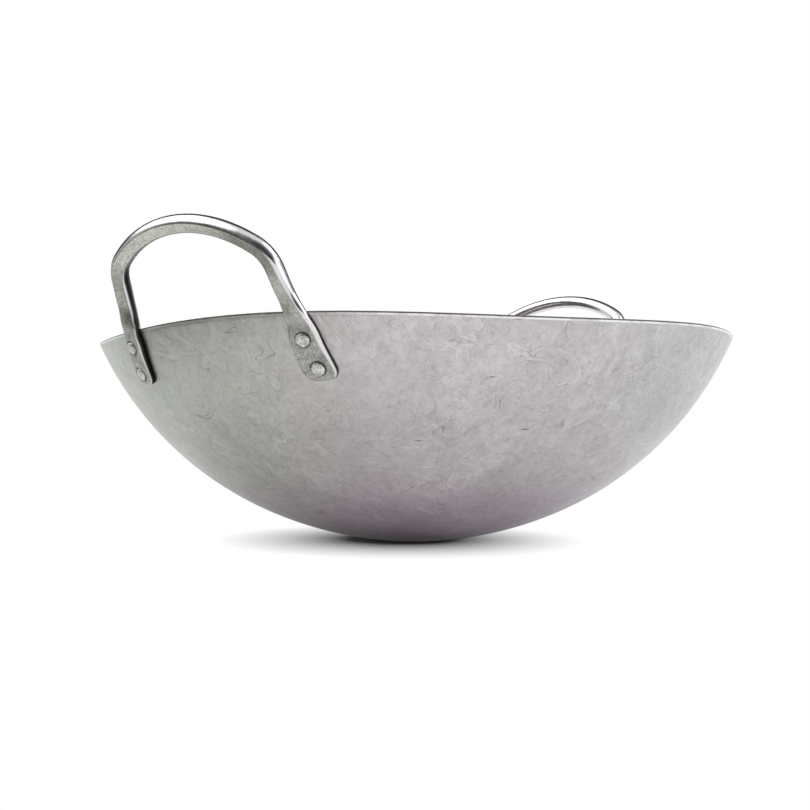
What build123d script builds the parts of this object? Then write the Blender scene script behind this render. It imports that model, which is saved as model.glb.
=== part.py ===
from build123d import *
import os
from math import acos, asin, atan2, cos, degrees, radians, sin, sqrt

# A round-bottomed carbon steel wok with two forged loop handles, each riveted on by two feet.
# Millimetres and degrees, Z up. The origin is on the floor under the middle of the bowl.
# The handles stand on +X (right) and -X (left). The front of the wok is -Y.

# Bowl: one steel sheet, its outer face drawn as a flat seat and two tangent arcs
rim_diameter = 356.0
bowl_depth = 113.0
wall = 1.5
seat_diameter = 32.0
base_arc_radius = 204.0
base_arc_diameter = 182.0  # where the broad bottom curve runs into the tighter wall curve
rim_edge_bevel = 0.35

# Loop of the handle: centreline of the bar, seen square on to the loop
leg_half_gap = 51.4  # from the middle of the handle to a leg, level with the rim
leg_splay = 9.0
corner_radius = 17.0
crown_radius = 69.0
crown_height = 47.0
loop_slope = 62.0  # between the loop's plane and the floor

# Bar: round, with one side forged flat
bar_diameter = 8.6
bar_flat = 5.9
bar_inset = 1.5  # the bar's centreline runs this far inside the bowl's outer face
flat_turn = 28.0  # at the crown the flat has turned this far towards the inside of the loop

# Foot: the bar's end, spread wide and thin on the outside of the bowl
foot_width = 13.6
foot_flat = 12.0
foot_tip_thickness = 1.9
foot_rim_thickness = 3.0
foot_back = 3.0
foot_overrun = 2.0  # length forged past the rounded end and then cut away
foot_seat_clearance = 0.05

# Rivets: two in each foot, measured down the wall from the rim
upper_rivet_below_rim = 10.1
rivet_pitch = 14.2
shank_diameter = 4.0
outer_head_diameter = 6.5
outer_head_height = 1.3
inner_head_diameter = 7.0
inner_head_height = 0.8
head_bevel_width = 0.9
head_bevel_height = 0.45
rivet_clearance = 0.05
head_dish_depth = 0.25  # hammered ring round each outer head
head_dish_margin = 0.7
cut_overrun = 20.0

# How far the forging has gone from the plain bar (0) to the full foot (1), at the foot's end,
# the lower rivet, the upper rivet, the rim, the middle of the leg and the top of the leg
foot_width_shares = (1.0, 1.0, 0.88, 0.45, 0.14, 0.0)
foot_flat_shares = (1.0, 1.0, 0.60, 0.30, 0.10, 0.0)
foot_back_shares = (1.0, 1.0, 1.0, 0.8, 0.3, 0.0)
foot_thickness_shares = (0.0, 0.25, 0.8, 1.0)

# Places of the loop's sections along the leg, the corner and half of the crown,
# and how far the flat has turned at each
leg_place_shares = (0.5, 1.0)
corner_place_share = 0.5
crown_place_shares = (0.0, 0.5, 1.0)
flat_turn_shares = (0.12, 0.3, 0.5, 0.7, 0.95, 1.0)

# Bowl profile, worked out from the sizes above
rim_radius = rim_diameter / 2
seat_radius = seat_diameter / 2
base_arc_end = base_arc_diameter / 2
base_centre_height = sqrt(base_arc_radius**2 - seat_radius**2)
base_end_slope = asin(base_arc_end / base_arc_radius)
base_end_height = base_centre_height - base_arc_radius * cos(base_end_slope)
wall_run = rim_radius - base_arc_end
wall_rise = bowl_depth - base_end_height
wall_chord_lift = wall_rise * cos(base_end_slope) - wall_run * sin(base_end_slope)
wall_arc_radius = (wall_run**2 + wall_rise**2) / (2 * wall_chord_lift)
wall_centre_radius = base_arc_end - wall_arc_radius * sin(base_end_slope)
wall_centre_height = base_end_height + wall_arc_radius * cos(base_end_slope)
rim_slope = asin((rim_radius - wall_centre_radius) / wall_arc_radius)


def wall_point(slope, outside):
    """Radius and height of a point this far outside the wall, where the wall has this slope."""
    reach = wall_arc_radius + outside
    return wall_centre_radius + reach * sin(slope), wall_centre_height - reach * cos(slope)


# Rivet and foot places, measured down the wall from the rim
upper_rivet = upper_rivet_below_rim
lower_rivet = upper_rivet_below_rim + rivet_pitch
foot_end = lower_rivet + foot_width / 2
rivet_hole_diameter = shank_diameter + 2 * rivet_clearance

# Loop outline, worked out from the sizes above: straight leg, corner arc, crown arc
splay = radians(leg_splay)
arc_gap = crown_radius - corner_radius
corner_offset = leg_half_gap - corner_radius * cos(splay)
crown_drop = crown_radius - crown_height - corner_radius * sin(splay)
leg_lean = crown_drop * cos(splay) - corner_offset * sin(splay)
leg_length = sqrt(leg_lean**2 - corner_offset**2 - crown_drop**2 + arc_gap**2) - leg_lean
corner_turn = atan2(
    crown_drop + leg_length * cos(splay), corner_offset - leg_length * sin(splay)
) - splay
crown_turn = radians(90) - corner_turn - splay

# Loop plane: leans outwards and holds the centreline of both legs at the rim
rim_line_radius, rim_line_height = wall_point(rim_slope, -bar_inset)
loop_base = Vector(sqrt(rim_line_radius**2 - leg_half_gap**2), 0, rim_line_height)
loop_normal = Vector(sin(radians(loop_slope)), 0, -cos(radians(loop_slope)))
loop_plane = Plane(origin=loop_base, x_dir=(0, 1, 0), z_dir=loop_normal)

bar_front = sqrt((bar_diameter / 2) ** 2 - (bar_flat / 2) ** 2)
bar_back = bar_diameter / 2


def between(low, high, share):
    """Value at this share of the way from low to high."""
    return low + (high - low) * share


def foot_frame(below_rim, side):
    """Point, outward normal and upward direction of a foot, at a distance below the rim."""
    slope = rim_slope - below_rim / wall_arc_radius
    radius, height = wall_point(slope, -bar_inset)
    across = side * (leg_half_gap + below_rim * sin(splay))
    turn = asin(across / radius)
    outward = Vector(cos(turn), sin(turn), 0)
    along_rim = Vector(-sin(turn), cos(turn), 0)
    up_wall = outward * cos(slope) + Vector(0, 0, sin(slope))
    normal = outward * sin(slope) - Vector(0, 0, cos(slope))
    rise = up_wall * cos(splay) - along_rim * (side * sin(splay))
    return outward * radius + Vector(0, 0, height), normal, rise


def foot_thickness(below_rim):
    """Thickness of the foot over the bowl's outer face."""
    places = (foot_end, lower_rivet, upper_rivet, 0.0)
    for low, high, low_share, high_share in zip(
        places, places[1:], foot_thickness_shares, foot_thickness_shares[1:]
    ):
        if below_rim >= high:
            share = between(low_share, high_share, (low - below_rim) / (low - high))
            return between(foot_tip_thickness, foot_rim_thickness, share)
    return foot_rim_thickness


def section_plane(point, normal, along):
    """Plane square to the bar, with its Y axis out of the flat side."""
    return Plane(origin=point, x_dir=normal.cross(along), z_dir=along)


def bar_section(plane, width, flat, front, back):
    """Cross-section of the bar: a flat front, rounded flanks and a rounded back."""
    half = width / 2
    flank_end = acos(flat / width)
    flank_reach = front / sin(flank_end)
    flank_angle = degrees(flank_end)
    with BuildSketch(plane) as section:
        with BuildLine():
            Line((flat / 2, front), (-flat / 2, front))
            EllipticalCenterArc((0, 0), half, flank_reach, 180 - flank_angle, arc_size=flank_angle)
            EllipticalCenterArc((0, 0), half, back, 180, arc_size=180)
            EllipticalCenterArc((0, 0), half, flank_reach, 0, arc_size=flank_angle)
        make_face()
    return section.sketch


def foot_sections(side):
    """Sections of one foot, from past its end up to the rim."""
    sections = []
    for below_rim, wide, flat, back in zip(
        (foot_end + foot_overrun, lower_rivet, upper_rivet, 0.0),
        foot_width_shares,
        foot_flat_shares,
        foot_back_shares,
    ):
        point, normal, rise = foot_frame(below_rim, side)
        if below_rim == 0.0:
            normal = (normal + loop_normal).normalized()
        sections.append(
            bar_section(
                section_plane(point, normal, rise * side),
                between(bar_diameter, foot_width, wide),
                between(bar_flat, foot_flat, flat),
                bar_inset + foot_thickness(min(below_rim, foot_end)),
                between(bar_back, foot_back, back),
            )
        )
    return sections


def loop_sections(side):
    """Sections of half the loop, from above the rim to the middle of the crown."""
    with BuildLine(loop_plane):
        leg = Line(
            (side * leg_half_gap, 0),
            (side * (leg_half_gap - leg_length * sin(splay)), leg_length * cos(splay)),
        )
        corner = JernArc(leg @ 1, leg % 1, corner_radius, side * degrees(corner_turn))
        crown = JernArc(corner @ 1, corner % 1, crown_radius, side * degrees(crown_turn))
    places = [(leg, share) for share in leg_place_shares]
    places.append((corner, corner_place_share))
    places += [(crown, share) for share in crown_place_shares]
    leg_shares = zip(foot_width_shares[-2:], foot_flat_shares[-2:], foot_back_shares[-2:])
    forging = list(leg_shares) + [(0.0, 0.0, 0.0)] * (len(places) - len(leg_place_shares))
    sections = []
    for (line, place), turn_share, (wide, flat, back) in zip(places, flat_turn_shares, forging):
        along = line % place
        inside = loop_normal.cross(along) * side
        turn = radians(flat_turn * turn_share)
        normal = loop_normal * cos(turn) + inside * sin(turn)
        sections.append(
            bar_section(
                section_plane(line @ place, normal, along * side),
                between(bar_diameter, foot_width, wide),
                between(bar_flat, foot_flat, flat),
                bar_front,
                between(bar_back, foot_back, back),
            )
        )
    return sections


def rivet_plane(below_rim, side):
    """Plane on the bowl's outer face at a rivet of the right handle, Z pointing outwards."""
    point, normal, rise = foot_frame(below_rim, side)
    return Plane(origin=point + normal * bar_inset, x_dir=rise, z_dir=normal)


def right_rivet_places():
    """Name, plane and distance below the rim of each of the right handle's rivets."""
    places = {}
    for side_name, side in (("front", -1), ("rear", 1)):
        for level_name, below_rim in (("upper", upper_rivet), ("lower", lower_rivet)):
            places[f"{side_name}_{level_name}"] = (rivet_plane(below_rim, side), below_rim)
    return places


def mirrored(plane):
    """The same plane on the left handle."""
    origin, x_dir, z_dir = (
        Vector(-vector.X, vector.Y, vector.Z) for vector in (plane.origin, plane.x_dir, plane.z_dir)
    )
    return Plane(origin=origin, x_dir=x_dir, z_dir=z_dir)


def arc_to(start, centre_radius, centre_height, radius, slope):
    """Arc of the bowl's profile from a point to the place where the profile has this slope."""
    start_slope = asin((start[0] - centre_radius) / radius)
    points = []
    for angle in ((start_slope + slope) / 2, slope):
        points.append((centre_radius + radius * sin(angle), centre_height - radius * cos(angle)))
    return ThreePointArc(start, *points)


def bowl_curve(outside, seat_edge, past_rim=0.0):
    """Base arc and wall arc of the profile, this far outside the outer face."""
    base = arc_to(seat_edge, 0, base_centre_height, base_arc_radius + outside, base_end_slope)
    wall_radius = wall_arc_radius + outside
    end_slope = rim_slope + past_rim / wall_radius
    upper = arc_to(tuple(base @ 1), wall_centre_radius, wall_centre_height, wall_radius, end_slope)
    return base, upper


# Everything that the bowl and its hollow fill, with the seat clearance round it
with BuildPart() as bowl_and_hollow:
    with BuildSketch(Plane.XZ):
        with BuildLine():
            base, upper = bowl_curve(foot_seat_clearance, (seat_radius, 0), foot_seat_clearance)
            inner_radius, inner_height = wall_point(rim_slope, -wall - foot_seat_clearance)
            inner_corner = (
                inner_radius + foot_seat_clearance * cos(rim_slope),
                inner_height + foot_seat_clearance * sin(rim_slope),
            )
            Polyline(upper @ 1, inner_corner, (0, inner_corner[1]), (0, 0), base @ 0)
        make_face()
    revolve(axis=Axis.Z)

# Bowl: spun sheet with lightly eased rim edges and a hole for each rivet
with BuildPart() as bowl:
    with BuildSketch(Plane.XZ) as profile:
        with BuildLine():
            inner_seat_radius = sqrt((base_arc_radius - wall) ** 2 - (base_centre_height - wall) ** 2)
            outer_base, outer_wall = bowl_curve(0, (seat_radius, 0))
            inner_base, inner_wall = bowl_curve(-wall, (inner_seat_radius, wall))
            Line(outer_wall @ 1, inner_wall @ 1)
            Polyline(outer_base @ 0, (0, 0), (0, wall), inner_base @ 0)
        make_face()
        chamfer(profile.vertices().sort_by(Axis.Y)[-2:], length=rim_edge_bevel)
    revolve(axis=Axis.Z)
    for plane, below_rim in right_rivet_places().values():
        for place in (plane, mirrored(plane)):
            with BuildSketch(place):
                Circle(rivet_hole_diameter / 2)
            extrude(amount=cut_overrun, both=True, mode=Mode.SUBTRACT)
bowl.part.label = "bowl"

# Handle: one forged bar from foot to foot, seated on the bowl, with rounded foot ends,
# rivet holes and a shallow hammered ring round each outer rivet head
with BuildPart() as right_handle:
    rear_half = foot_sections(1) + loop_sections(1)
    front_half = foot_sections(-1) + loop_sections(-1)
    loft(rear_half + front_half[-2::-1])
    add(bowl_and_hollow.part, mode=Mode.SUBTRACT)
    for plane, below_rim in right_rivet_places().values():
        if below_rim == lower_rivet:
            with BuildSketch(plane):
                with Locations((-cut_overrun / 2, 0)):
                    Rectangle(cut_overrun, 2 * foot_width)
                Circle(foot_width / 2, mode=Mode.SUBTRACT)
            extrude(amount=cut_overrun, both=True, mode=Mode.SUBTRACT)
        with BuildSketch(plane):
            Circle(rivet_hole_diameter / 2)
        extrude(amount=cut_overrun, both=True, mode=Mode.SUBTRACT)
        with BuildSketch(plane.offset(foot_thickness(below_rim) - head_dish_depth)):
            Circle(outer_head_diameter / 2 + head_dish_margin)
        extrude(amount=cut_overrun, mode=Mode.SUBTRACT)
right_handle.part.label = "right_handle"

with BuildPart() as left_handle:
    mirror(right_handle.part, about=Plane.YZ)
left_handle.part.label = "left_handle"


def rivet(plane, below_rim, label):
    """Solid rivet: shank through foot and wall, hammered head outside, low head inside."""
    outer_seat = foot_thickness(below_rim) - head_dish_depth + rivet_clearance
    inner_seat = -wall - rivet_clearance
    outer_top = outer_seat + outer_head_height
    inner_top = inner_seat - inner_head_height
    shank_radius = shank_diameter / 2
    outer_radius = outer_head_diameter / 2
    inner_radius = inner_head_diameter / 2
    with BuildPart() as piece:
        with BuildSketch(Plane(origin=plane.origin, x_dir=plane.x_dir, z_dir=-plane.y_dir)):
            with BuildLine():
                Polyline(
                    (0, outer_top),
                    (outer_radius - head_bevel_width, outer_top),
                    (outer_radius, outer_top - head_bevel_height),
                    (outer_radius, outer_seat),
                    (shank_radius, outer_seat),
                    (shank_radius, inner_seat),
                    (inner_radius, inner_seat),
                    (inner_radius - head_bevel_width, inner_top),
                    (0, inner_top),
                    close=True,
                )
            make_face()
        revolve(axis=Axis(plane.origin, plane.z_dir))
    piece.part.label = label
    return piece


pieces = [bowl, left_handle, right_handle]
for place, (plane, below_rim) in right_rivet_places().items():
    pieces.append(rivet(plane, below_rim, f"right_{place}_rivet"))
    pieces.append(rivet(mirrored(plane), below_rim, f"left_{place}_rivet"))

os.makedirs("parts", exist_ok=True)
for piece in pieces:
    export_step(piece.part, f"parts/{piece.part.label}.step")
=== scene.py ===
from math import acos, asin, atan2, cos, hypot, pi, radians, sin, sqrt

import bmesh
import bpy
from mathutils import Matrix, Vector, noise


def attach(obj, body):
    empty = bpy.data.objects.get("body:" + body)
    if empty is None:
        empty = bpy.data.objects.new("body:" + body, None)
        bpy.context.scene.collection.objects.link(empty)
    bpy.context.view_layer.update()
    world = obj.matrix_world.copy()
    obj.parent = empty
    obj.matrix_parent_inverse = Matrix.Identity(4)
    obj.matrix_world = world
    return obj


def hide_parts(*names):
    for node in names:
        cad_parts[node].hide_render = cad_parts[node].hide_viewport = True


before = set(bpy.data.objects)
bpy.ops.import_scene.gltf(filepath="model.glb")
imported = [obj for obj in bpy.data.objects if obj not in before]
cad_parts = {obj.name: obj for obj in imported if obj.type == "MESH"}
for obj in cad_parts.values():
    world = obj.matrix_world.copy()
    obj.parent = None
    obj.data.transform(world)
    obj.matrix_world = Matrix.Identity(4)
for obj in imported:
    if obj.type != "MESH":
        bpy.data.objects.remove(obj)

# A round-bottomed carbon steel wok with two forged loop handles, each riveted on by two feet.
# Metres, Z up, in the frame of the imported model: handles on +X and -X, front on -Y.

MM = 0.001
UP = Vector((0.0, 0.0, 1.0))
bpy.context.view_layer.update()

# Bowl, the same sizes as the solid, with a softer edge to the rim
rim_radius = 178 * MM
bowl_depth = 113 * MM
wall = 1.5 * MM
seat_radius = 16 * MM
base_arc_radius = 204 * MM
base_arc_end = 91 * MM
rim_edge_round = 0.3 * MM

# Loop and bar of the handle, the same sizes as the solid
leg_half_gap = 51.4 * MM
splay = radians(9)
corner_radius = 17 * MM
crown_radius = 69 * MM
crown_height = 47 * MM
loop_slope = radians(62)
bar_diameter = 8.6 * MM
bar_flat = 5.9 * MM
bar_inset = 1.5 * MM
flat_turn = radians(28)

# Foot and rivets, the solid's sizes, but the foot's edges are beaten rounder and its end is
# shorter and blunter
foot_width = 13.8 * MM
foot_flat = 11.0 * MM
foot_tip_thickness = 1.9 * MM
foot_rim_thickness = 3.0 * MM
foot_back = 3.0 * MM
foot_seat_clearance = 0.05 * MM
upper_rivet = 10.1 * MM
rivet_pitch = 14.2 * MM
shank_radius = 2.0 * MM
outer_head_radius = 3.25 * MM
outer_head_height = 1.3 * MM
inner_head_radius = 3.5 * MM
inner_head_height = 0.8 * MM
head_dish_depth = 0.25 * MM
head_dish_margin = 0.7 * MM
tip_reach = 6.4 * MM  # of the foot past the lower rivet
tip_bluntness = 2.7  # of the foot's end: 2 is round, more is squarer
tip_edge_round = 1.1 * MM
flat_edge_round = 0.35 * MM  # between the bar's flat and its round flanks
edge_lift_share = 0.45  # of the foot's thickness, where the foot is widest

# Unevenness of the hand-finished rim: cosine and sine heights of two, three and four waves
# round the rim, counted from a start azimuth
rim_wave_start = radians(56.09)
rim_waves = {2: (-0.94 * MM, -1.76 * MM), 3: (0.23 * MM, 0.65 * MM), 4: (-0.59 * MM, -1.67 * MM)}
rim_wave_reach = 22 * MM

# Wander of the beaten surfaces, and the size of its waves
sheet_wander = 0.12 * MM
sheet_waves = ((34 * MM, 1.0), (15 * MM, 0.5))  # size and share of the wander
head_wander = Vector((0.22 * MM, 0.22 * MM, 0.08 * MM))
head_wave = 2.4 * MM
noise.seed_set(7)  # so that every run beats the rivet heads alike

# The left handle was bent by hand a little out of true: how far its bar stands outside its
# place at stations above (plus) and below (minus) the rim, for the front and the rear leg
bend_stations = (-30 * MM, -16 * MM, -3 * MM, 16 * MM)
bend_offsets = {-1: (0.8 * MM, 0.9 * MM, 1.5 * MM, 0.0), 1: (-1.5 * MM, -1.5 * MM, -2.0 * MM, 0.0)}
rivet_bend_offsets = {-1: 0.0, 1: -1.5 * MM}
right_lean = radians(3.2)  # of the right loop, outwards from its true slope

# The left handle's feet are beaten wider on the side inside the loop: how far, at stations
# along the foot. The front one is feathered there and the rear one keeps a square edge.
spread_stations = (-24 * MM, -10 * MM, -2 * MM, 6 * MM)
foot_spreads = {-1: (2.2 * MM, 1.5 * MM, 0.6 * MM, 0.0), 1: (2.2 * MM, 2.2 * MM, 1.6 * MM, 0.0)}
spread_edges = {-1: (0.55, 1.0), 1: (0.0, 0.8)}  # shares of the half width

# Profile of the bowl, worked out from the sizes above
base_centre_height = sqrt(base_arc_radius**2 - seat_radius**2)
base_start_slope = asin(seat_radius / base_arc_radius)
base_end_slope = asin(base_arc_end / base_arc_radius)
base_end_height = base_centre_height - base_arc_radius * cos(base_end_slope)
wall_run = rim_radius - base_arc_end
wall_rise = bowl_depth - base_end_height
wall_chord_lift = wall_rise * cos(base_end_slope) - wall_run * sin(base_end_slope)
wall_arc_radius = (wall_run**2 + wall_rise**2) / (2 * wall_chord_lift)
wall_centre_radius = base_arc_end - wall_arc_radius * sin(base_end_slope)
wall_centre_height = base_end_height + wall_arc_radius * cos(base_end_slope)
rim_slope = asin((rim_radius - wall_centre_radius) / wall_arc_radius)

# Loop outline, worked out from the sizes above
lower_rivet = upper_rivet + rivet_pitch
foot_end = lower_rivet + foot_width / 2
arc_gap = crown_radius - corner_radius
corner_offset = leg_half_gap - corner_radius * cos(splay)
crown_drop = crown_radius - crown_height - corner_radius * sin(splay)
leg_lean = crown_drop * cos(splay) - corner_offset * sin(splay)
leg_length = sqrt(leg_lean**2 - corner_offset**2 - crown_drop**2 + arc_gap**2) - leg_lean
corner_turn = atan2(
    crown_drop + leg_length * cos(splay), corner_offset - leg_length * sin(splay)
) - splay
crown_turn = radians(90) - corner_turn - splay
bar_radius = bar_diameter / 2
bar_front = sqrt(bar_radius**2 - (bar_flat / 2) ** 2)


def between(low, high, share):
    """Value at this share of the way from low to high."""
    return low + (high - low) * share


def eased(low, high, value):
    """Share from 0 at low to 1 at high, with soft ends."""
    share = min(max((value - low) / (high - low), 0.0), 1.0)
    return share * share * (3 - 2 * share)


def wall_point(slope, outside):
    """Radius and height of a point this far outside the wall, where the wall has this slope."""
    reach = wall_arc_radius + outside
    return wall_centre_radius + reach * sin(slope), wall_centre_height - reach * cos(slope)


def wall_place(point):
    """Slope of the wall beside a point, and the point's distance outside the wall."""
    run = hypot(point.x, point.y) - wall_centre_radius
    drop = wall_centre_height - point.z
    return atan2(run, drop), hypot(run, drop) - wall_arc_radius


def rim_rise(point):
    """How far the uneven rim stands above or below the true rim, along the wall."""
    turn = atan2(point.y, point.x) + rim_wave_start
    height = sum(a * cos(n * turn) + b * sin(n * turn) for n, (a, b) in rim_waves.items())
    return height / sin(rim_slope)


def set_on_wall(point, slope, outside):
    """Moves a point to this slope and distance outside the wall, at its own azimuth."""
    radius, height = wall_point(slope, outside)
    share = radius / hypot(point.x, point.y)
    point.x *= share
    point.y *= share
    point.z = height


# Pieces

def make_piece(mesh, name, sharp_angle):
    """Turns a finished bmesh into a piece that stands for the CAD node of this name."""
    for edge in mesh.edges:
        edge.smooth = not edge.is_manifold or edge.calc_face_angle() < sharp_angle
    for face in mesh.faces:
        face.smooth = True
    data = bpy.data.meshes.new(name + "_look")
    mesh.to_mesh(data)
    mesh.free()
    piece = bpy.data.objects.new(name + "_look", data)
    bpy.context.scene.collection.objects.link(piece)
    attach(piece, "root")
    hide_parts(name)
    return piece


def extruded_point(mesh, vertex, offset):
    """New vertex joined to the given one by an edge."""
    made = bmesh.ops.extrude_vert_indiv(mesh, verts=[vertex])["verts"][0]
    bmesh.ops.translate(mesh, verts=[made], vec=offset)
    return made


def arc_point(mesh, vertex, centre, angle, steps):
    """Sweeps a vertex round a centre in the XZ plane and returns the last one."""
    swept = bmesh.ops.spin(
        mesh, geom=[vertex], cent=centre, axis=(0, -1, 0), angle=angle, steps=steps
    )
    return [item for item in swept["geom_last"] if isinstance(item, bmesh.types.BMVert)][0]


def make_bowl():
    """One spun sheet: flat seat, broad bottom curve, tighter wall, plain cut rim."""
    base_steps, wall_steps, round_steps = 26, 46, 360
    base_turn = base_end_slope - base_start_slope
    wall_turn = rim_slope - base_end_slope
    base_centre = (0, 0, base_centre_height)
    wall_centre = (wall_centre_radius, 0, wall_centre_height)
    mesh = bmesh.new()
    start = mesh.verts.new((0, 0, 0))
    last = extruded_point(mesh, start, (seat_radius, 0, 0))
    last = arc_point(mesh, last, base_centre, base_turn, base_steps)
    last = arc_point(mesh, last, wall_centre, wall_turn, wall_steps)
    last = extruded_point(mesh, last, (-wall * sin(rim_slope), 0, wall * cos(rim_slope)))
    last = arc_point(mesh, last, wall_centre, -wall_turn, wall_steps)
    last = arc_point(mesh, last, base_centre, -base_turn, base_steps)
    extruded_point(mesh, last, (-last.co.x, 0, wall - last.co.z))
    bmesh.ops.spin(
        mesh, geom=mesh.verts[:] + mesh.edges[:], cent=(0, 0, 0), axis=(0, 0, 1),
        angle=2 * pi, steps=round_steps, use_merge=True,
    )
    bmesh.ops.remove_doubles(mesh, verts=mesh.verts, dist=0.001 * MM)
    rim_edges = [
        edge for edge in mesh.edges
        if all(vert.co.z > bowl_depth - 0.1 * MM for vert in edge.verts) and edge.calc_face_angle() > 1
    ]
    bmesh.ops.bevel(
        mesh, geom=rim_edges, offset=rim_edge_round, offset_type="OFFSET",
        affect="EDGES", segments=2, profile=0.5, material=-1,
    )
    bmesh.ops.recalc_face_normals(mesh, faces=mesh.faces)
    below_layer = mesh.verts.layers.float.new("below_rim")
    for vert in mesh.verts:
        slope, outside = wall_place(vert.co)
        below_rim = (rim_slope - slope) * wall_arc_radius
        vert[below_layer] = below_rim if outside > -0.5 * wall else rim_wave_reach
        if vert.co.z > base_end_height + wall and below_rim < rim_wave_reach:
            rise = rim_rise(vert.co) * (1 - eased(0, rim_wave_reach, below_rim))
            set_on_wall(vert.co, slope + rise / wall_arc_radius, outside)
        if vert.co.z > 4 * MM:
            away = Vector((vert.co.x, vert.co.y, 0)).normalized()
            wander = sum(share * noise.noise(vert.co / size) for size, share in sheet_waves)
            fade = eased(4 * MM, 30 * MM, vert.co.z) * eased(-10 * MM, 20 * MM, below_rim)
            vert.co += away * (sheet_wander * wander * fade)
    return make_piece(mesh, "bowl", radians(35))


# The handle is described on the right side. A station is the distance along the bar's
# centreline above the rim, negative down the foot.

def bend(station, side, mirrored):
    """How far a hand-bent bar stands outside its true place."""
    if not mirrored or station >= bend_stations[-1]:
        return 0.0
    return along_stations(bend_stations, bend_offsets[side], station)


def foot_spread(station, side, mirrored):
    """How much further the foot reaches on its side inside the loop."""
    if not mirrored or station >= spread_stations[-1]:
        return 0.0
    return along_stations(spread_stations, foot_spreads[side], station)


def foot_frame(below_rim, side, mirrored):
    """Point, outward normal and upward direction of a foot, at a distance below the rim."""
    slope = rim_slope - below_rim / wall_arc_radius
    radius, height = wall_point(slope, -bar_inset)
    across = side * (leg_half_gap + below_rim * sin(splay) + bend(-below_rim, side, mirrored))
    turn = asin(across / radius)
    outward = Vector((cos(turn), sin(turn), 0))
    along_rim = Vector((-sin(turn), cos(turn), 0))
    up_wall = outward * cos(slope) + UP * sin(slope)
    normal = outward * sin(slope) - UP * cos(slope)
    rise = up_wall * cos(splay) - along_rim * (side * sin(splay))
    return outward * radius + UP * height, normal, rise


rim_line_radius, rim_line_height = wall_point(rim_slope, -bar_inset)
loop_base = Vector((sqrt(rim_line_radius**2 - leg_half_gap**2), 0, rim_line_height))
corner_start = leg_length
crown_start = corner_start + corner_radius * corner_turn
crown_middle = crown_start + crown_radius * crown_turn


def loop_axes(mirrored):
    """Upward direction in the loop's plane, and the plane's outward normal."""
    slope = loop_slope if mirrored else loop_slope - right_lean
    return Vector((cos(slope), 0, sin(slope))), Vector((sin(slope), 0, -cos(slope)))


def loop_frame(station, side, loop_up):
    """Point and upward direction of the bar in the loop's plane."""
    leaned = splay
    across, height = leg_half_gap, 0.0
    run = min(station, corner_start)
    across -= run * sin(splay)
    height += run * cos(splay)
    for start, end, radius in (
        (corner_start, crown_start, corner_radius),
        (crown_start, crown_middle, crown_radius),
    ):
        if station > start:
            turn = (min(station, end) - start) / radius
            across -= radius * (cos(leaned) - cos(leaned + turn))
            height += radius * (sin(leaned + turn) - sin(leaned))
            leaned += turn
    sideways = Vector((0, side, 0))
    point = loop_base + sideways * across + loop_up * height
    return point, loop_up * cos(leaned) - sideways * sin(leaned)


def along_stations(stations, values, station):
    """Smooth value between the stations where it is known."""
    if station <= stations[0]:
        return values[0]
    for low, high, low_value, high_value in zip(stations, stations[1:], values, values[1:]):
        if station <= high:
            return between(low_value, high_value, eased(low, high, station))
    return values[-1]


# How far the forging has gone from plain bar (0) to full foot (1), at the lower rivet,
# the upper rivet, the rim, the middle of the leg and the top of the leg
forging_stations = (-lower_rivet, -upper_rivet, 0.0, leg_length / 2, leg_length)
width_shares = (1.0, 0.88, 0.45, 0.14, 0.0)
flat_shares = (1.0, 0.60, 0.30, 0.10, 0.0)
back_shares = (1.0, 1.0, 0.8, 0.3, 0.0)

# Thickness of the foot over the wall, and how far the flat has turned, at their own stations
thickness_stations = (-foot_end, -lower_rivet, -upper_rivet, 0.0)
thickness_shares = (0.0, 0.25, 0.8, 1.0)
turn_stations = (
    0.0,
    leg_length / 2,
    corner_start,
    (corner_start + crown_start) / 2,
    crown_start,
    (crown_start + crown_middle) / 2,
    crown_middle,
)
turn_shares = (0.0, 0.12, 0.3, 0.5, 0.7, 0.95, 1.0)


def straight_between(stations, values, station):
    """Value on straight lines between the stations where it is known."""
    if station <= stations[0]:
        return values[0]
    for low, high, low_value, high_value in zip(stations, stations[1:], values, values[1:]):
        if station <= high:
            return between(low_value, high_value, (station - low) / (high - low))
    return values[-1]


def foot_thickness(below_rim):
    """Thickness of the foot over the bowl's outer face."""
    share = straight_between(thickness_stations, thickness_shares, -below_rim)
    return between(foot_tip_thickness, foot_rim_thickness, share)


def bar_frame(station, side, mirrored):
    """Point, normal of the flat and direction along the bar, from the tip to the crown."""
    foot_point, foot_normal, foot_rise = foot_frame(max(-station, 0.0), side, mirrored)
    loop_up, loop_normal = loop_axes(mirrored)
    if station < 0:
        point, rise = foot_point, foot_rise
    else:
        point, rise = loop_frame(station, side, loop_up)
        moved = bend(station, side, mirrored)
        point.x += sqrt(rim_line_radius**2 - (leg_half_gap + moved) ** 2) - loop_base.x
        point.y += side * moved
    inside = loop_normal.cross(rise) * side
    turn = flat_turn * straight_between(turn_stations, turn_shares, station)
    upper_normal = loop_normal * cos(turn) + inside * sin(turn)
    loop_share = eased(-6 * MM, 9 * MM, station)
    normal = foot_normal.lerp(upper_normal, loop_share)
    normal = (normal - rise * normal.dot(rise)).normalized()
    return point, normal, rise


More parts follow.
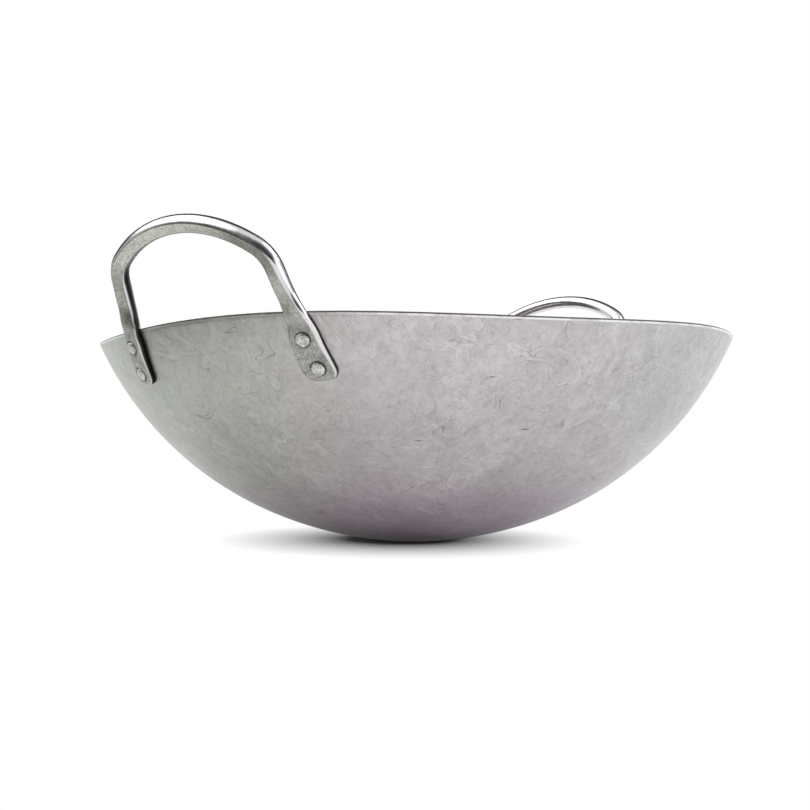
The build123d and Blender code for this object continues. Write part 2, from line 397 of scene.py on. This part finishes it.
def bar_sizes(station):
    """Width, flat width, front and back reach of the bar's section, and how far out it is widest."""
    width = between(bar_diameter, foot_width, along_stations(forging_stations, width_shares, station))
    flat = between(bar_flat, foot_flat, along_stations(forging_stations, flat_shares, station))
    back = between(bar_radius, foot_back, along_stations(forging_stations, back_shares, station))
    foot_front = bar_inset + foot_thickness(max(-station, 0.0))
    front = between(foot_front, bar_front, eased(0, leg_length / 2, station))
    foot_lift = bar_inset + edge_lift_share * (front - bar_inset)
    lift = foot_lift * (1 - eased(-9 * MM, leg_length, station))
    past_rivet = -station - lower_rivet
    if past_rivet > 0:
        chord_share = max(1 - (past_rivet / tip_reach) ** tip_bluntness, 0.0) ** (1 / tip_bluntness)
        width = foot_width * chord_share
        flat = max(width - (foot_width - foot_flat), 0.45 * width)
        over = max(past_rivet - (tip_reach - tip_edge_round), 0.0) / tip_edge_round
        front = bar_inset + (front - bar_inset) * sqrt(max(1 - over**2, 0.02))
        lift = min(lift, bar_inset + edge_lift_share * (front - bar_inset))
    return width, flat, front, back, lift


def section_offset(angle, width, flat, front, back, lift):
    """Across and outward reach of the section's outline at an angle round the bar."""
    half = width / 2
    if sin(angle) <= 0:
        return half * cos(angle), lift + max(back, lift / 2) * sin(angle)
    flank_reach = (front - lift) / sin(acos(min(flat / width, 0.99)))
    out = lift + flank_reach * sin(angle)
    blend = max(flat_edge_round - abs(out - front), 0.0) / flat_edge_round
    return half * cos(angle), min(out, front) - blend * blend * flat_edge_round / 4


def half_stations():
    """Stations of the sections from the foot's tip to the middle of the crown."""
    tip_steps, foot_step, rim_step, leg_step = 14, 0.6 * MM, 0.35 * MM, 0.9 * MM
    stations = [
        -lower_rivet - tip_reach * cos(0.5 * pi * (step + 0.35) / tip_steps)
        for step in range(tip_steps)
    ]
    station = -lower_rivet
    while station < crown_middle - leg_step:
        stations.append(station)
        near_rim = abs(station) < 4 * MM
        station += rim_step if near_rim else foot_step if station < 0 else leg_step
    return stations + [crown_middle]


def rivet_frame(below_rim, side, mirrored):
    """Point on the bowl's outer face, outward normal and rise at a rivet."""
    point, normal, rise = foot_frame(below_rim, side, False)
    if mirrored:
        point.y += side * rivet_bend_offsets[side]
    return point + normal * bar_inset, normal, rise


rivet_places = {
    f"{side_name}_{level_name}": (side, below_rim)
    for side_name, side in (("front", -1), ("rear", 1))
    for level_name, below_rim in (("upper", upper_rivet), ("lower", lower_rivet))
}


def distance_from_head(point, mirrored):
    """Distance of a point of the foot from the nearest rivet's axis."""
    return min(
        (point - centre - normal * (point - centre).dot(normal)).length
        for centre, normal, rise in (
            rivet_frame(below_rim, side, mirrored) for side, below_rim in rivet_places.values()
        )
    )


def distance_below_rim(point, slope, mirrored):
    """How far down the wall a point is from the uneven rim."""
    seen_point = Vector((-point.x, point.y, point.z)) if mirrored else point
    return (rim_slope - slope) * wall_arc_radius + rim_rise(seen_point)


def shade_and_scale_in_gap(station, outside, below_rim):
    """Share of painted contact shade, with some dark scale, where the foot meets the wall."""
    down_foot = eased(0, lower_rivet, -station)
    start = between(0.9 * MM, 1.3 * MM, down_foot)
    end = between(1.6 * MM, 1.95 * MM, down_foot)
    return (1 - eased(start, end, outside)) * eased(-1 * MM, 1 * MM, below_rim)


def shade_inside_loop(station, side, angle, aside_share, out_share, on_flat):
    """Share of painted shade on the left handle's side inside the loop, and of a painted shade line along
    its flat's edge.
    """
    off_flat = 1 - on_flat
    if station < 0:
        off_flat *= eased(0.98, 0.86, out_share) if side > 0 else 0.0
    start, end = (0.80, 0.93) if sin(angle) >= 0 else (0.93, 0.995)
    edge_line = 0.6 * on_flat * eased(0.58, 0.66, aside_share) * eased(2 * MM, 12 * MM, station)
    return max(eased(start, end, aside_share) * off_flat, edge_line)


def darkening_at_corner(station):
    """Share of darkening on the flat round the left handle's front corner."""
    start = eased(corner_start - 6 * MM, corner_start + 4 * MM, station)
    end = eased(crown_start + 8 * MM, crown_start + 26 * MM, station)
    return 0.4 * start * (1 - end)


def make_handle(name, mirrored):
    """One forged bar from foot to foot, flat on one side, seated on the bowl."""
    ring_points = 72
    mesh = bmesh.new()
    flat_layer = mesh.verts.layers.float.new("flat")
    foot_layer = mesh.verts.layers.float.new("foot")
    crevice_layer = mesh.verts.layers.float.new("crevice")
    inside_shade_layer = mesh.verts.layers.float.new("inner")
    grain_layer = mesh.verts.layers.float_vector.new("grain")
    half = half_stations()
    path = [(station, 1) for station in half] + [(station, -1) for station in half[-2::-1]]
    rings = []
    for station, side in path:
        point, normal, rise = bar_frame(station, side, mirrored)
        width, flat, front, back, lift = bar_sizes(station)
        across = normal.cross(rise * side)
        spread = foot_spread(station, side, mirrored) * width / max(width, foot_width)
        left_front = mirrored and side < 0
        ring = bmesh.ops.create_circle(mesh, segments=ring_points, radius=1)["verts"]
        for vert in ring:
            angle = atan2(vert.co.y, vert.co.x)
            aside, out = section_offset(angle, width, flat, front, back, lift)
            aside_share = 2 * aside / width
            aside += spread * eased(*spread_edges[side], aside_share)
            on_flat = eased(0.94 * front, 0.99 * front, out)
            place = point + across * aside + normal * out
            slope, outside = wall_place(place)
            below_rim = distance_below_rim(place, slope, mirrored)
            # Painted contact shade, with some dark scale, where the foot meets the wall
            dark = shade_and_scale_in_gap(station, outside, below_rim)
            if below_rim > 0 and outside < foot_seat_clearance:
                set_on_wall(place, slope, foot_seat_clearance)
            elif station < 0 and on_flat > 0:
                from_head = distance_from_head(place, mirrored) - outer_head_radius
                dished = 1 - eased(head_dish_margin, 2 * head_dish_margin, from_head)
                place -= normal * (head_dish_depth * dished * on_flat)
                # A thin ring round each head is painted dark, as shade and dirt in the gap under the head
                dark = max(dark, 0.9 * on_flat * (1 - eased(0.2 * MM, 0.8 * MM, from_head)))
            dull = on_flat
            inside_shade = 0.0
            # The flat round the left handle's front corner is darkened
            if left_front:
                dark = max(dark, darkening_at_corner(station) * on_flat)
            if left_front and aside_share > 0:
                dull = max(on_flat, eased(4 * MM, -4 * MM, station))  # its feathered side
            # The left handle's side inside the loop, and a line along its flat's edge, get painted shade
            if mirrored:
                inside_shade = shade_inside_loop(station, side, angle, aside_share, out / front, on_flat)
            vert.co = place
            vert[flat_layer] = dull
            vert[crevice_layer] = dark
            vert[inside_shade_layer] = inside_shade
            vert[foot_layer] = 1 - eased(-6 * MM, 4 * MM, station)
            vert[grain_layer] = (aside, out, (crown_middle - station) * side)
        edges = {edge for vert in ring for edge in vert.link_edges}
        if rings:
            bmesh.ops.bridge_loops(mesh, edges=list(rings[-1] | edges))
        rings.append(edges)
    for edges in (rings[0], rings[-1]):
        bmesh.ops.edgeloop_fill(mesh, edges=list(edges))
    if mirrored:
        bmesh.ops.scale(mesh, vec=(-1, 1, 1), verts=mesh.verts)
    bmesh.ops.recalc_face_normals(mesh, faces=mesh.faces)
    return make_piece(mesh, name, radians(38))


def make_rivet(name, place_name, mirrored):
    """Hammered head outside, shank through foot and wall, low head inside."""
    side, below_rim = rivet_places[place_name]
    centre, normal, rise = rivet_frame(below_rim, side, mirrored)
    if mirrored:
        centre, normal, rise = (Vector((-v.x, v.y, v.z)) for v in (centre, normal, rise))
    outer_seat = foot_thickness(below_rim) - head_dish_depth
    inner_seat = -wall
    mesh = bmesh.new()
    crown = outer_seat + outer_head_height
    outline = (
        (0.55 * outer_head_radius, crown - 0.02 * MM),
        (0.80 * outer_head_radius, crown - 0.09 * MM),
        (0.92 * outer_head_radius, crown - 0.28 * MM),
        (0.99 * outer_head_radius, crown - 0.62 * MM),
        (outer_head_radius, crown - 1.0 * MM),
        (0.97 * outer_head_radius, outer_seat - 0.02 * MM),
        (shank_radius, outer_seat),
        (shank_radius, inner_seat),
        (inner_head_radius, inner_seat),
        (0.95 * inner_head_radius, inner_seat - 0.35 * inner_head_height),
        (0.75 * inner_head_radius, inner_seat - 0.8 * inner_head_height),
        (0.40 * inner_head_radius, inner_seat - 0.97 * inner_head_height),
    )
    last = mesh.verts.new((0, 0, crown))
    for radius, height in outline:
        last = extruded_point(mesh, last, (radius - last.co.x, 0, height - last.co.z))
    extruded_point(mesh, last, (-last.co.x, 0, inner_seat - inner_head_height - last.co.z))
    bmesh.ops.spin(
        mesh, geom=mesh.verts[:] + mesh.edges[:], cent=(0, 0, 0), axis=(0, 0, 1),
        angle=2 * pi, steps=56, use_merge=True,
    )
    bmesh.ops.remove_doubles(mesh, verts=mesh.verts, dist=0.001 * MM)
    bmesh.ops.recalc_face_normals(mesh, faces=mesh.faces)
    across = normal.cross(rise)
    turn = Matrix((rise, across, normal)).transposed()
    for vert in mesh.verts:
        spot = vert.co + centre / 3
        head_share = eased(shank_radius, outer_head_radius, hypot(vert.co.x, vert.co.y))
        wander = noise.noise_vector(spot / head_wave)
        vert.co.x += head_wander.x * head_share * wander.x
        vert.co.y += head_wander.y * head_share * wander.y
        if vert.co.z > outer_seat + 0.4 * MM:
            vert.co.z += head_wander.z * wander.z
        vert.co = centre + turn @ vert.co
    return make_piece(mesh, name, radians(50))


# Materials

def colour(code):
    """Linear colour from an sRGB hex value."""
    parts = [int(code[place:place + 2], 16) / 255 for place in (1, 3, 5)]
    linear = [part / 12.92 if part <= 0.04045 else ((part + 0.055) / 1.055) ** 2.4 for part in parts]
    return (*linear, 1.0)


def add(tree, kind, out=None, stops=(), **given):
    """Adds a node, sets its properties, then sets or links its inputs, where a list fills the inputs
    of one name in turn. Returns the named output, or else the first one in use."""
    node = tree.nodes.new("ShaderNode" + kind)
    for name, value in given.items():
        if name[0].islower():
            setattr(node, name, value)
    for name, value in given.items():
        spots = [spot for spot in node.inputs if spot.enabled and spot.name == name.replace("_", " ")]
        for spot, item in zip(spots, value if isinstance(value, list) else [value]):
            if isinstance(item, bpy.types.NodeSocket):
                tree.links.new(item, spot)
            elif item is not None:
                spot.default_value = item
    if stops:
        elements = node.color_ramp.elements
        while len(elements) < len(stops):
            elements.new(0.5)
        for element, (place, code) in zip(elements, stops):
            element.position = place
            element.color = colour(code)
    return node.outputs[out] if out else next((spot for spot in node.outputs if spot.enabled), None)


def new_material(name):
    """Empty material and its tree."""
    material = bpy.data.materials.new(name)
    material.use_nodes = True
    material.node_tree.nodes.clear()
    return material, material.node_tree


def patterns(tree, place, rows):
    """Cloudy patterns by name. A row gives the size of the patches in metres, the detail, how far they
    are distorted and how rough they are, and for a drawn-out pattern its stretch and its turn."""
    made = {}
    for name, (size, detail, distortion, roughness, *drawn_out) in rows.items():
        spot = place
        if drawn_out:
            spot = add(tree, "Mapping", Vector=place, Scale=drawn_out[0], Rotation=drawn_out[1])
        made[name] = add(
            tree, "TexNoise", Vector=spot,
            Scale=1 / size, Detail=detail, Distortion=distortion, Roughness=roughness,
        )
    return made


def laid_over(tree, tone, code, pattern, low, high, share, where=None):
    """Lays a colour over a tone, from nothing where the pattern is at low to this share at high."""
    amount = add(tree, "MapRange", Value=pattern, From_Min=low, From_Max=high, To_Max=share)
    if where:
        amount = add(tree, "Math", operation="MULTIPLY", Value=[amount, where])
    return add(tree, "Mix", data_type="RGBA", Factor=amount, A=tone, B=colour(code))


def relief(tree, depths):
    """Normal of a surface that carries these patterns, each this deep in metres."""
    normal = None
    for height, depth in depths:
        normal = add(tree, "Bump", Strength=1.0, Distance=depth, Height=height, Normal=normal)
    return normal


def spun_carbon_steel():
    """Bare carbon steel sheet, spun and rubbed by hand. It looks satin and cloudy, with tide marks of
    old wipes, fine scratches and a few nicks."""
    material, tree = new_material("spun_carbon_steel_satin")
    place = add(tree, "TexCoord", out="Object")
    seen = patterns(tree, place, {
        "clouds": (55 * MM, 4, 0.8, 0.55),
        "patches": (13 * MM, 5, 1.6, 0.6),
        "mottle": (3 * MM, 4, 0.4, 0.65),
        "grit": (1 * MM, 3, 0.2, 0.6),
        "broad_wipes": (46 * MM, 2, 1.6, 0.45, (1, 1, 0.8), (0.3, 0.5, 0.2)),
        "wipe_breaks": (17 * MM, 3, 0.8, 0.5),
        "small_wipes": (21 * MM, 3, 1.9, 0.5, (1.5, 1, 0.8), (0.9, 0.1, 0.6)),
        "wipe_areas": (60 * MM, 2, 0.5, 0.5),
        "scratch_field": (38 * MM, 1, 2.2, 0.4, (1, 0.6, 1.2), (0.2, 0.7, 1.1)),
        "scratch_areas": (14 * MM, 2, 0.4, 0.5),
        "tall_streaks": (0.9 * MM, 3, 0.0, 0.5, (1, 1, 0.05), (0.35, 0.25, 0)),
        "slant_streaks": (0.8 * MM, 3, 0.0, 0.5, (0.05, 1, 1), (0, 0.9, 0.7)),
    })
    scratched = add(tree, "MapRange", Value=seen["scratch_areas"], From_Min=0.46, From_Max=0.62, To_Max=0.9)

    # Satin steel, from large clouds down to grit, with streaks of rubbing
    cloudy = add(tree, "MapRange", Value=seen["clouds"], From_Min=0.3, From_Max=0.7)
    tone = add(tree, "ValToRGB", Fac=cloudy, stops=((0.0, "#C8C3C4"), (0.5, "#D3CECF"), (1.0, "#DCD7D8")))
    tone = laid_over(tree, tone, "#B2ADAE", seen["patches"], 0.40, 0.68, 0.48)
    tone = laid_over(tree, tone, "#9C9798", seen["mottle"], 0.43, 0.70, 0.30)
    tone = laid_over(tree, tone, "#8E898A", seen["grit"], 0.50, 0.75, 0.16)
    tone = laid_over(tree, tone, "#E6E2E3", seen["tall_streaks"], 0.50, 0.75, 0.30)
    tone = laid_over(tree, tone, "#8A8586", seen["slant_streaks"], 0.56, 0.78, 0.75, scratched)

    # Each tide mark is a pale smear with a thin dark line on one side, about an even mid grey
    even = "#BCBCBC"
    tide_marks = (
        ("broad_wipes", "wipe_breaks", 0.40, 0.225, (
            (0.0, even), (0.480, even), (0.488, "#A4A4A4"), (0.496, "#CECECE"),
            (0.515, "#C4C4C4"), (0.54, even), (0.60, even), (0.606, "#A9A9A9"), (0.612, even),
        )),
        ("small_wipes", "wipe_areas", 0.45, 0.0, (
            (0.0, even), (0.474, even), (0.484, "#A2A2A2"), (0.494, "#CBCBCB"),
            (0.52, even), (0.57, "#C4C4C4"), (0.60, even),
        )),
    )
    for wipes, areas, low, least, stops in tide_marks:
        mark = add(tree, "ValToRGB", Fac=seen[wipes], stops=stops)
        share = add(
            tree, "MapRange", Value=seen[areas], From_Min=low, From_Max=0.60, To_Min=least, To_Max=0.9
        )
        tone = add(tree, "Mix", data_type="RGBA", blend_type="OVERLAY", Factor=share, A=tone, B=mark)

    # Long fine scratches, short dashes and small nicks
    scratches = add(tree, "ValToRGB", Fac=seen["scratch_field"], stops=(
        (0.0, "#000000"), (0.5165, "#000000"), (0.52, "#FFFFFF"), (0.5235, "#000000"),
    ))
    dash_place = add(tree, "Mapping", Vector=place, Scale=(0.15, 0.15, 1), Rotation=(0.12, 0.08, 0))
    dashes = add(tree, "TexVoronoi", Vector=dash_place, Scale=1 / (6 * MM), Randomness=1.0)
    nicks = add(tree, "TexVoronoi", Vector=place, Scale=1 / (26 * MM), Randomness=1.0)
    tone = laid_over(tree, tone, "#6E6A68", scratches, 0, 1, 1, scratched)
    tone = laid_over(tree, tone, "#5E5A58", dashes, 0.07, 0.03, 0.75)
    tone = laid_over(tree, tone, "#4A4644", nicks, 0.032, 0.018, 0.8)

    # The cut edge of the rim is dark, and just below it a painted highlight of the rounded edge runs as a
    # bright band, broken up by the patches
    below_rim = add(tree, "Attribute", out="Fac", attribute_name="below_rim")
    rim_highlight_share = add(tree, "MapRange", Value=seen["patches"], From_Min=0.36, From_Max=0.52, To_Min=0.3)
    tone = laid_over(tree, tone, "#FCFBFB", below_rim, 1.5 * MM, 0.9 * MM, 1, rim_highlight_share)
    tone = laid_over(tree, tone, "#4E4B4A", below_rim, 0.45 * MM, 0.3 * MM, 0.9)

    # The steel is faintly green on one side, where painted shade also darkens it, and faintly violet low
    # down, with painted shade that darkens it towards the seat and lightens it towards the rim
    aside = add(tree, "VectorMath", operation="DOT_PRODUCT", Vector=[place, (0.56, -0.83, 0.0)])
    height = add(tree, "SeparateXYZ", out="Z", Vector=place)
    casts_and_painted_shade = (
        (aside, -0.9 * rim_radius, 0.9 * rim_radius, (
            (0.0, "#E6F0E6"), (0.25, "#E2E9E0"), (0.45, "#FFFDFE"), (1.0, "#F2F7F7"),
        )),
        # Painted shade by height: darkest at the seat, lightest at the rim
        (height, 0.0, bowl_depth, (
            (0.0, "#B4AAB4"), (0.03, "#DDD2DE"), (0.1, "#F6E9F7"), (0.38, "#F9F8F9"),
            (0.6, "#F0F0F0"), (0.82, "#F8F8F8"), (1.0, "#FFFFFF"),
        )),
    )
    for value, low, high, stops in casts_and_painted_shade:
        share = add(tree, "MapRange", Value=value, From_Min=low, From_Max=high)
        cast_and_shade = add(tree, "ValToRGB", Fac=share, stops=stops)
        tone = add(tree, "Mix", data_type="RGBA", blend_type="MULTIPLY", Factor=1.0, A=tone, B=cast_and_shade)

    cloudy_rough = add(
        tree, "MapRange", Value=seen["clouds"], From_Min=0.3, From_Max=0.7, To_Min=0.33, To_Max=0.42
    )
    mottle_rough = add(
        tree, "MapRange", Value=seen["mottle"], From_Min=0.3, From_Max=0.7, To_Min=-0.03, To_Max=0.03
    )
    rough = add(tree, "Math", operation="ADD", Value=[cloudy_rough, mottle_rough])
    normal = relief(tree, (
        (seen["patches"], 0.06 * MM),
        (seen["mottle"], 0.035 * MM),
        (seen["tall_streaks"], 0.010 * MM),
        (seen["grit"], 0.012 * MM),
    ))
    surface = add(
        tree, "BsdfPrincipled", Base_Color=tone, Metallic=1.0, Roughness=rough, Normal=normal,
        Sheen_Weight=0.30, Sheen_Roughness=0.25,
    )
    add(tree, "OutputMaterial", Surface=surface)
    return material


def forged_bar_steel():
    """Bare forged steel bar. The flat side looks satin, with a grain along it, the round back is
    polished, and the hammered foot is pitted. Painted shade darkens the left handle's side inside the
    loop and the gap where the foot meets the wall, with some dark scale in the gap; thin rings round
    the rivet heads are painted dark as shade and dirt, and the left handle's front corner is darkened."""
    material, tree = new_material("forged_bar_steel_polished")
    place = add(tree, "TexCoord", out="Object")
    grain_place = add(tree, "Attribute", out="Vector", attribute_name="grain")
    flat, foot, crevice, inner = [
        add(tree, "Attribute", out="Fac", attribute_name=name)
        for name in ("flat", "foot", "crevice", "inner")
    ]
    grain = patterns(tree, grain_place, {
        "grain": (0.5 * MM, 3, 0.0, 0.5, (1, 1, 0.04), (0, 0, 0)),
    })["grain"]
    seen = patterns(tree, place, {
        "clouds": (9 * MM, 4, 0.8, 0.5),
        "pits": (1.1 * MM, 4, 0.3, 0.7),
        "blotches": (4.5 * MM, 3, 0.8, 0.6),
    })
    polished = laid_over(tree, colour("#D9D6D9"), "#E6E4E6", seen["clouds"], 0.30, 0.70, 1)
    satin = laid_over(tree, colour("#C4C4BC"), "#DADAD2", seen["clouds"], 0.35, 0.65, 1)
    satin = laid_over(tree, satin, "#A3A39C", grain, 0.45, 0.75, 0.6)
    satin = laid_over(tree, satin, "#7A7A74", seen["pits"], 0.46, 0.68, 0.75)
    satin = laid_over(tree, satin, "#EFEFE8", seen["pits"], 0.42, 0.30, 0.6)
    pitted = laid_over(tree, colour("#969791"), "#CDCEC8", seen["pits"], 0.38, 0.66, 1)
    pitted = laid_over(tree, pitted, "#6C6C68", seen["blotches"], 0.40, 0.65, 0.5)
    beaten = add(tree, "Math", operation="MULTIPLY", Value=[foot, flat])
    tone = add(tree, "Mix", data_type="RGBA", Factor=flat, A=polished, B=satin)
    tone = add(tree, "Mix", data_type="RGBA", Factor=beaten, A=tone, B=pitted)
    # Painted shade on the left handle's side inside the loop and along its flat's edge
    tone = laid_over(tree, tone, "#34322F", inner, 0, 1, 1)
    # Painted contact shade with some dark scale where the foot meets the wall, painted shade and dirt round
    # the rivet heads, and darkening round the left handle's front corner
    tone = laid_over(tree, tone, "#26231F", crevice, 0, 1, 1)

    rough = add(
        tree, "MapRange", Value=seen["clouds"], From_Min=0.3, From_Max=0.7, To_Min=0.14, To_Max=0.22
    )
    for mark, rougher in ((flat, 0.2), (foot, 0.06), (crevice, 0.3), (inner, 0.2)):
        rough = add(tree, "Math", operation="MULTIPLY_ADD", Value=[mark, rougher, rough])
    beaten_pits = add(tree, "Math", operation="MULTIPLY", Value=[seen["pits"], beaten])
    normal = relief(tree, ((grain, 0.012 * MM), (beaten_pits, 0.18 * MM), (seen["clouds"], 0.10 * MM)))
    surface = add(tree, "BsdfPrincipled", Base_Color=tone, Metallic=1.0, Roughness=rough, Normal=normal)
    add(tree, "OutputMaterial", Surface=surface)
    return material


def hammered_rivet_steel():
    """Bare steel rivet heads, beaten over by hand. They look bright and dented, with short scratches."""
    material, tree = new_material("hammered_rivet_steel")
    seen = patterns(tree, add(tree, "TexCoord", out="Object"), {
        "dents": (1.1 * MM, 4, 0.6, 0.5),
        "scratches": (0.35 * MM, 3, 0.0, 0.5, (1, 0.15, 1), (0.4, 0.6, 0.9)),
    })
    tone = laid_over(tree, colour("#A6A5A1"), "#EDECE8", seen["dents"], 0.35, 0.65, 1)
    tone = laid_over(tree, tone, "#75746F", seen["scratches"], 0.50, 0.70, 0.6)
    rough = add(
        tree, "MapRange", Value=seen["scratches"], From_Min=0.3, From_Max=0.7, To_Min=0.34, To_Max=0.5
    )
    normal = relief(tree, ((seen["dents"], 0.12 * MM), (seen["scratches"], 0.03 * MM)))
    surface = add(tree, "BsdfPrincipled", Base_Color=tone, Metallic=1.0, Roughness=rough, Normal=normal)
    add(tree, "OutputMaterial", Surface=surface)
    return material


# Room

camera_place = Vector((-570.7, -383.6, 65.6)) * MM
camera_yaw = -0.00704517  # radians, as are the next two
camera_pitch = 0.01700454
camera_roll = -0.00505368
camera_lens = 52.78  # millimetres, on Blender's usual sensor

# A dark flag stands to the left of the wok, where the bare metal mirrors it
flag_direction = (-0.906, 0.423, 0.0)
flag_grey = colour("#4E504C")
shade_centre = (-4 * MM, 6 * MM, 0.0)


def add_camera():
    """Camera at the photograph's viewing angle."""
    to_part = Matrix.Rotation(-rim_wave_start, 3, "Z")
    level_reach = cos(camera_pitch)
    forward = Vector((sin(camera_yaw) * level_reach, cos(camera_yaw) * level_reach, sin(camera_pitch)))
    level = forward.cross(UP).normalized()
    down = forward.cross(level)
    right = to_part @ (level * cos(camera_roll) + down * sin(camera_roll))
    up = to_part @ (level * sin(camera_roll) - down * cos(camera_roll))
    turn = Matrix((right, up, to_part @ -forward)).transposed().to_4x4()
    data = bpy.data.cameras.new("camera")
    data.sensor_fit = "HORIZONTAL"
    data.lens = camera_lens
    data.clip_start = 10 * MM
    camera = bpy.data.objects.new("camera", data)
    camera.matrix_world = Matrix.Translation(camera_place) @ turn
    bpy.context.scene.collection.objects.link(camera)
    bpy.context.scene.camera = camera


def add_floor():
    """Pale floor that runs out to white and keeps the shadow under the bowl."""
    mesh = bmesh.new()
    bmesh.ops.create_circle(mesh, segments=96, radius=12, cap_ends=True)
    data = bpy.data.meshes.new("floor")
    mesh.to_mesh(data)
    mesh.free()
    floor = bpy.data.objects.new("floor", data)
    floor.location.z = -0.02 * MM
    bpy.context.scene.collection.objects.link(floor)
    data.materials.append(paper_floor())


def paper_floor():
    """Matt white paper. The camera sees it lit evenly from a hand's width off the bowl, and metal
    mirrors it so from a little further out, with the flag standing on it."""
    material, tree = new_material("paper_floor_white")
    place = add(tree, "TexCoord", out="Object")
    from_shade = add(tree, "VectorMath", operation="SUBTRACT", Vector=[place, shade_centre])
    away = add(tree, "VectorMath", operation="LENGTH", Vector=from_shade)
    outwards = add(tree, "VectorMath", operation="NORMALIZE", Vector=place)
    bearing = add(tree, "VectorMath", operation="DOT_PRODUCT", Vector=[outwards, flag_direction])
    path = add(tree, "LightPath").node.outputs
    seen_white, mirrored_white, flag_far, flag_near = [
        add(tree, "MapRange", Value=value, From_Min=low, From_Max=high)
        for value, low, high in (
            (away, 30 * MM, 105 * MM),
            (away, 42 * MM, 205 * MM),
            (away, 260 * MM, 540 * MM),
            (bearing, cos(radians(52)), cos(radians(24))),
        )
    ]
    flag = add(tree, "Math", operation="MULTIPLY", Value=[flag_near, flag_far])
    flag = add(tree, "Math", operation="MULTIPLY", Value=[flag, path["Is Glossy Ray"]])
    shown = add(tree, "Mix", data_type="RGBA", Factor=flag, A=colour("#FFFFFF"), B=flag_grey)
    camera_share = add(tree, "Math", operation="MULTIPLY", Value=[seen_white, path["Is Camera Ray"]])
    mirror_share = add(tree, "Math", operation="MULTIPLY", Value=[mirrored_white, path["Is Glossy Ray"]])
    lit_share = add(tree, "Math", operation="MAXIMUM", Value=[camera_share, mirror_share])
    matt = add(tree, "BsdfDiffuse", Color=colour("#CFCFCF"))
    lit = add(tree, "Emission", Color=shown, Strength=1.0)
    add(tree, "OutputMaterial", Surface=add(tree, "MixShader", Fac=lit_share, Shader=[matt, lit]))
    return material


def add_room():
    """White studio for what is matt, and for bare metal a room with softboxes and darker walls."""
    world = bpy.data.worlds.new("studio")
    bpy.context.scene.world = world
    world.use_nodes = True
    tree = world.node_tree
    tree.nodes.clear()
    direction = add(tree, "TexCoord", out="Generated")
    height = add(tree, "SeparateXYZ", out="Z", Vector=direction)

    def put(room, aim, inner, outer, paint):
        """Puts a round panel into the room, whole within the inner angle and gone past the outer."""
        dot = add(tree, "VectorMath", operation="DOT_PRODUCT", Vector=[direction, Vector(aim).normalized()])
        share = add(
            tree, "MapRange", Value=dot, From_Min=cos(radians(outer)), From_Max=cos(radians(inner))
        )
        return add(tree, "Mix", data_type="RGBA", Factor=share, A=room, B=paint)

    room = laid_over(tree, colour("#8C8C8A"), "#B4B4B4", height, 0.0, 0.9, 1)
    room = laid_over(tree, room, "#F2F2F2", height, 0.75, 0.93, 1)
    room = put(room, (0.75, 0.60, 0.45), 42, 56, colour("#2A3226"))
    room = laid_over(tree, room, "#FFFFFF", height, 0.09, 0.03, 1)
    for aim, inner, outer, paint in (
        (flag_direction, 14, 28, flag_grey),
        ((-0.83, -0.56, 0.2), 30, 50, colour("#403E42")),
        ((0.97, -0.2, 0.0), 14, 20, (1.5, 1.5, 1.5, 1)),
        ((-0.415, 0.56, 0.72), 32, 36, (1.9, 1.9, 1.86, 1)),
        ((0.25, -0.95, 0.0), 22, 34, (1.5, 1.45, 1.5, 1)),
    ):
        room = put(room, aim, inner, outer, paint)
    path = add(tree, "LightPath").node.outputs
    mirrored_room = add(tree, "Background", Color=room, Strength=1.0)
    plain = add(tree, "Background", Color=colour("#FFFFFF"), Strength=0.9)
    white = add(tree, "Background", Color=colour("#FFFFFF"), Strength=1.0)
    surface = add(tree, "MixShader", Fac=path["Is Glossy Ray"], Shader=[plain, mirrored_room])
    surface = add(tree, "MixShader", Fac=path["Is Camera Ray"], Shader=[surface, white])
    add(tree, "OutputWorld", Surface=surface)


def add_lamp(name, place, target, size, power):
    """Square softbox that looks at a point."""
    data = bpy.data.lights.new(name, "AREA")
    data.size = size
    data.energy = power
    lamp = bpy.data.objects.new(name, data)
    look = (Vector(target) - Vector(place)).to_track_quat("-Z", "Y")
    lamp.matrix_world = Matrix.Translation(place) @ look.to_matrix().to_4x4()
    bpy.context.scene.collection.objects.link(lamp)


bowl_steel = spun_carbon_steel()
handle_steel = forged_bar_steel()
rivet_steel = hammered_rivet_steel()

make_bowl().data.materials.append(bowl_steel)
for side_name, mirrored in (("right", False), ("left", True)):
    make_handle(f"{side_name}_handle", mirrored).data.materials.append(handle_steel)
    for place_name in rivet_places:
        rivet = make_rivet(f"{side_name}_{place_name}_rivet", place_name, mirrored)
        rivet.data.materials.append(rivet_steel)

add_camera()
add_floor()
add_room()
add_lamp("key", place=(0.5, -1.2, 1.5), target=(0, 0, 0.08), size=1.2, power=14)

scene = bpy.context.scene
scene.view_settings.view_transform = "Standard"
